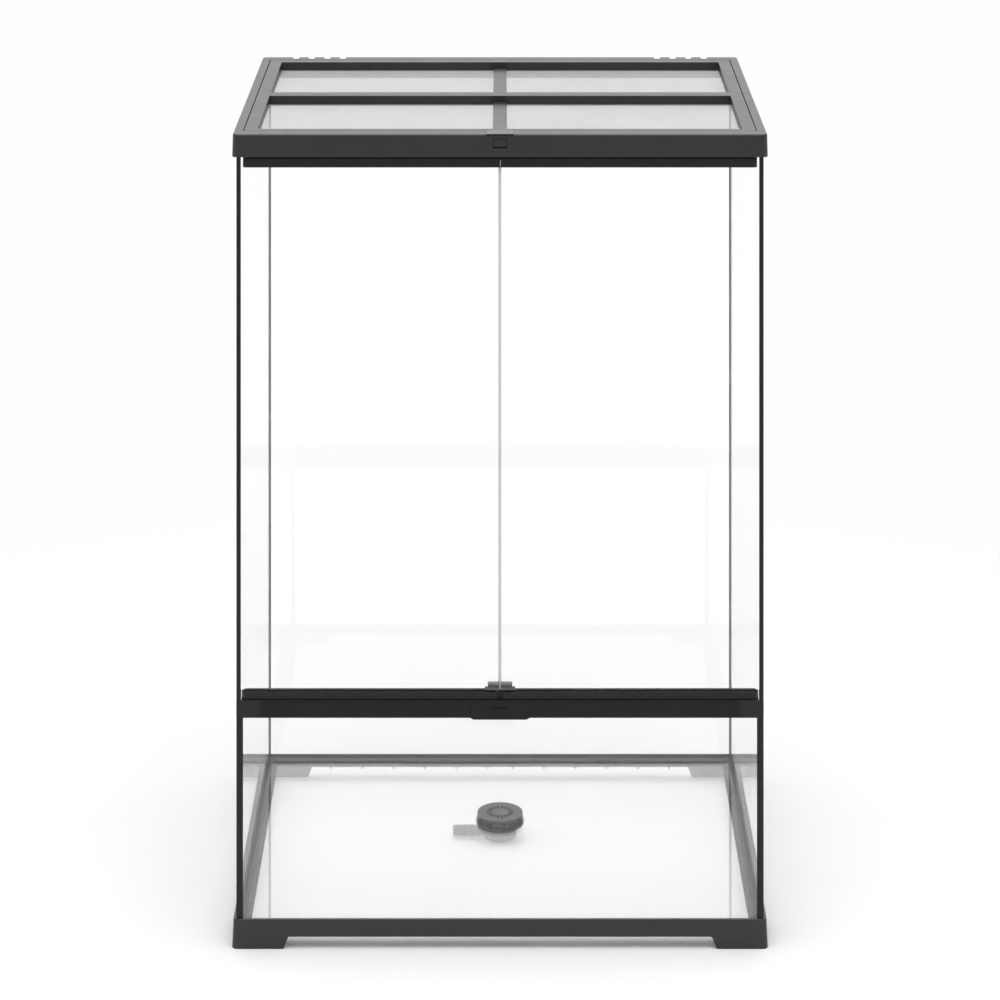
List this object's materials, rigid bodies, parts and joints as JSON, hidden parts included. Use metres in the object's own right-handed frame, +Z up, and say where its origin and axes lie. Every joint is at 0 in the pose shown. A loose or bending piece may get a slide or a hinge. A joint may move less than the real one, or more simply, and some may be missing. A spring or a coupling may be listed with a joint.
{
  "type": "reptile terrarium",
  "caption": "Tall front-opening glass reptile terrarium with twin hinged doors, a turning lock, a lift-off screen cover and a floor drain.",
  "frame": {"origin": "centre of the footprint, on the surface that the corner feet stand on", "axes": "+X to the right seen from the front, +Y from the doors to the back, +Z up"},
  "size_m": [0.61, 0.46, 0.926],
  "materials": {
    "frame_plastic": "black moulded ABS, fine satin texture",
    "rail_plastic": "black extruded plastic, satin",
    "control_plastic": "black moulded plastic, satin",
    "pull_plastic": "dark grey moulded plastic",
    "trim": "black edge trim",
    "glass": "clear float glass, polished edges",
    "sealant": "black silicone sealant",
    "pin_steel": "zinc-plated steel",
    "bush_plastic": "natural acetal",
    "clear_seal": "clear flexible strip",
    "screen_steel": "fine woven stainless steel screen",
    "drain_plastic": "warm dark grey moulded plastic",
    "o_ring_rubber": "black rubber"
  },
  "bodies": {
    "tank": {"base_frame": "frame_plastic", "floor_pane": "glass", "left_side_pane": "glass", "right_side_pane": "glass", "rear_pane": "glass", "front_sill_pane": "glass", "floor_sealant": "sealant", "rear_corner_sealant": "sealant", "front_corner_sealant": "sealant", "left_edge_trim": "trim", "right_edge_trim": "trim", "front_rail": "rail_plastic", "rail_strip": "rail_plastic", "lock_plate": "rail_plastic", "lower_hinge_bushes": "bush_plastic", "upper_hinge_bushes": "bush_plastic", "top_frame": "frame_plastic", "cover_seat": "frame_plastic", "left_inlet_comb": "frame_plastic", "right_inlet_comb": "frame_plastic", "drain_o_ring": "o_ring_rubber", "drain_body": "drain_plastic"},
    "left_door": {"left_door_pane": "glass", "left_door_top_rail": "rail_plastic", "left_door_bottom_rail": "rail_plastic", "left_hinge_pins": "pin_steel", "left_lock_keeper": "rail_plastic", "left_door_pull": "pull_plastic", "door_seal": "clear_seal"},
    "right_door": {"right_door_pane": "glass", "right_door_top_rail": "rail_plastic", "right_door_bottom_rail": "rail_plastic", "right_hinge_pins": "pin_steel", "right_lock_keeper": "rail_plastic", "right_door_pull": "pull_plastic"},
    "knob": {"lock_knob": "control_plastic", "lock_crank": "pin_steel"},
    "bolt": {"lock_bolt": "pin_steel"},
    "left_shutter": {"left_inlet_shutter": "control_plastic"},
    "right_shutter": {"right_inlet_shutter": "control_plastic"},
    "cover": {"cover_frame": "frame_plastic", "cover_centre_bars": "frame_plastic", "cover_clips": "control_plastic", "cover_screen": "screen_steel", "screen_retainer": "frame_plastic", "retainer_cross_bar": "frame_plastic"},
    "latch": {"cover_latch": "control_plastic"},
    "strainer": {"drain_strainer": "drain_plastic"}
  },
  "joints": [
    {"name": "left_door_hinge", "type": "hinge", "parent": "tank", "child": "left_door", "pos_m": [-0.2885, -0.21925, 0.59], "axis": [0, 0, -1], "range_deg": [0, 100]},
    {"name": "right_door_hinge", "type": "hinge", "parent": "tank", "child": "right_door", "pos_m": [0.2885, -0.21925, 0.59], "axis": [0, 0, 1], "range_deg": [0, 100]},
    {"name": "lock_turn", "type": "hinge", "parent": "tank", "child": "knob", "pos_m": [0, -0.227, 0.27125], "axis": [0, -1, 0], "range_deg": [0, 90]},
    {"name": "bolt_lift", "type": "slide", "parent": "tank", "child": "bolt", "axis": [0, 0, 1], "range_m": [0, 0.00339]},
    {"name": "left_shutter_slide", "type": "slide", "parent": "tank", "child": "left_shutter", "axis": [-1, 0, 0], "range_m": [0, 0.01]},
    {"name": "right_shutter_slide", "type": "slide", "parent": "tank", "child": "right_shutter", "axis": [1, 0, 0], "range_m": [0, 0.01]},
    {"name": "cover_lift", "type": "slide", "parent": "tank", "child": "cover", "axis": [0, 0, 1], "range_m": [0, 0.08]},
    {"name": "latch_slide", "type": "slide", "parent": "cover", "child": "latch", "axis": [0, -1, 0], "range_m": [0, 0.0014]},
    {"name": "strainer_lift", "type": "slide", "parent": "tank", "child": "strainer", "axis": [0, 0, 1], "range_m": [0, 0.06]}
  ],
  "couplings": [
    {"joint": "lock_turn", "follows": "bolt_lift", "rad_per_m": 462.8}
  ]
}
